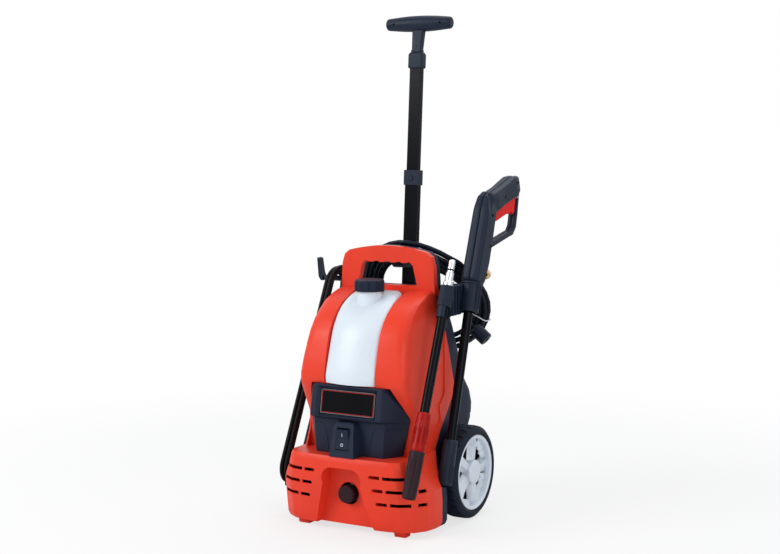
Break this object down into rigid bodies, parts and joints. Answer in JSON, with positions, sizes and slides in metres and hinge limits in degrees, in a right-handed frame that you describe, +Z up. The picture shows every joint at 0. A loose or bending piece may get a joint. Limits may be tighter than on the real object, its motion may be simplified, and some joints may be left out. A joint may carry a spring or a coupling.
{
  "type": "pressure washer",
  "caption": "Upright electric pressure washer on two wheels, with telescopic pull, detergent tank, gun and spare lance on a side holder, wound hose and mains cord.",
  "frame": {"origin": "on the floor in the machine's mid-plane, straight under the wheel axle", "axes": "+X to the machine's left flank with the gun (the right of a person facing its front), -Y to the front with the control panel, +Z up"},
  "size_m": [0.3398, 0.4226, 0.92],
  "materials": {
    "red_housing": "satin moulded, fine grain",
    "black_housing": "matt moulded",
    "navy_panel": "satin moulded",
    "tank_clear": "milky, see-through",
    "black_part": "satin moulded",
    "plate_black": "gloss film",
    "wheel_silver": "silver paint",
    "tyre_black": "matt",
    "steel": "turned",
    "brass": "turned",
    "tube_black": "satin powder coat",
    "trigger_red": "gloss moulded",
    "nozzle_red": "satin moulded",
    "nozzle_dark": "matt moulded",
    "spigot": "plated",
    "cord_rubber": "matt",
    "hose_rubber": "satin",
    "tie_white": "matt",
    "cast_metal": "cast"
  },
  "bodies": {
    "housing": {"front_shell": "red_housing", "rear_shell": "black_housing", "front_feet": "red_housing", "detergent_tank": "tank_clear", "control_bezel": "navy_panel", "nameplate": "plate_black", "rocker_frame": "black_part", "outlet_fitting": "brass", "inlet_fitting": "black_part", "axle": "steel", "lower_cord_hook": "black_part", "cord_gland": "cord_rubber", "mains_lead": "cord_rubber", "cord_hank": "cord_rubber", "plug_lead": "cord_rubber", "mains_plug": "cord_rubber", "hose_coil": "hose_rubber", "hose_tail": "hose_rubber", "hose_coupling": "black_part", "pump_end_coupling": "black_part", "hose_tie": "tie_white", "lance_holder": "black_part", "pump_body": "cast_metal", "pump_head": "cast_metal", "motor_can": "black_part", "motor_stator": "steel"},
    "wheel_left_set": {"wheel_left": "wheel_silver", "tyre_left": "tyre_black", "hub_cap_left": "wheel_silver"},
    "wheel_right_set": {"wheel_right": "wheel_silver", "tyre_right": "tyre_black", "hub_cap_right": "wheel_silver"},
    "outer_stage": {"lower_tube": "tube_black", "tube_head": "black_part"},
    "latch": {"tube_latch": "black_part"},
    "inner_stage": {"upper_tube": "tube_black", "tube_collar": "black_part", "pull_neck": "black_part", "pull_bar_front": "black_part", "pull_bar_rear": "black_part"},
    "switch": {"rocker": "black_part"},
    "filler_cap": {"tank_cap": "black_part"},
    "dust_cap": {"outlet_cap": "nozzle_dark"},
    "gun": {"gun_left_shell": "black_part", "gun_right_shell": "black_part", "gun_valve": "brass", "trigger_pin": "steel"},
    "trigger": {"gun_trigger": "trigger_red"},
    "gun_lance": {"gun_nut": "black_part", "spare_tube": "tube_black", "spare_sleeve": "black_part"},
    "lance": {"lance_tip": "spigot", "lance_o_ring": "cord_rubber", "lance_collar": "black_part", "lance_tube": "tube_black", "nozzle_ring": "nozzle_red"},
    "spray_head": {"nozzle": "nozzle_dark"},
    "rotor": {"motor_rotor": "steel", "cooling_fan": "black_part"},
    "cord_hook": {"upper_cord_hook": "black_part"}
  },
  "joints": [
    {"name": "left_wheel_spin", "type": "hinge", "parent": "housing", "child": "wheel_left_set", "pos_m": [-0.135, 0, 0.085], "axis": [1, 0, 0], "continuous": true},
    {"name": "right_wheel_spin", "type": "hinge", "parent": "housing", "child": "wheel_right_set", "pos_m": [0.135, 0, 0.085], "axis": [1, 0, 0], "continuous": true},
    {"name": "outer_stage_slide", "type": "slide", "parent": "housing", "child": "outer_stage", "axis": [0, 0.0663, 0.9978], "range_m": [-0.16, 0]},
    {"name": "inner_stage_slide", "type": "slide", "parent": "outer_stage", "child": "inner_stage", "axis": [0, 0.0663, 0.9978], "range_m": [-0.18, 0]},
    {"name": "latch_press", "type": "slide", "parent": "outer_stage", "child": "latch", "axis": [0, 0.9978, -0.0663], "range_m": [0, 0.0007], "stiffness_N_per_m": 400, "springref_m": -0.001},
    {"name": "rocker_tilt", "type": "hinge", "parent": "housing", "child": "switch", "pos_m": [0, -0.2046, 0.1679], "axis": [1, 0, 0], "range_deg": [-16, 0]},
    {"name": "filler_cap_turn", "type": "hinge", "parent": "housing", "child": "filler_cap", "pos_m": [0, -0.117, 0.43], "axis": [0, 0, 1], "continuous": true},
    {"name": "dust_cap_turn", "type": "hinge", "parent": "housing", "child": "dust_cap", "pos_m": [0, -0.195, 0.068], "axis": [0, -1, 0], "continuous": true},
    {"name": "gun_lift", "type": "slide", "parent": "housing", "child": "gun", "axis": [0, 0.2874, 0.9578], "range_m": [0, 0.33]},
    {"name": "trigger_pull", "type": "hinge", "parent": "gun", "child": "trigger", "pos_m": [0.1465, 0.16601, 0.58167], "axis": [1, 0, 0], "range_deg": [-8, 0], "stiffness_Nm_per_rad": 1.2, "springref_deg": 4.58},
    {"name": "lance_twist", "type": "hinge", "parent": "gun", "child": "gun_lance", "pos_m": [0.1465, -0.00745, 0.40716], "axis": [0, 0.2874, 0.9578], "range_deg": [0, 90]},
    {"name": "spare_lance_pull", "type": "slide", "parent": "housing", "child": "lance", "axis": [1, 0, 0], "range_m": [0, 0.12]},
    {"name": "spray_adjust", "type": "hinge", "parent": "lance", "child": "spray_head", "pos_m": [0.1388, -0.19326, 0.1582], "axis": [0, 0.3778, 0.9259], "range_deg": [0, 120]},
    {"name": "cord_hook_turn", "type": "hinge", "parent": "housing", "child": "cord_hook", "pos_m": [-0.116, -0.038, 0.4316], "axis": [1, 0, 0], "range_deg": [0, 180]},
    {"name": "motor_spin", "type": "hinge", "parent": "housing", "child": "rotor", "pos_m": [0, -0.076, 0.17], "axis": [0, 0, 1], "continuous": true}
  ]
}
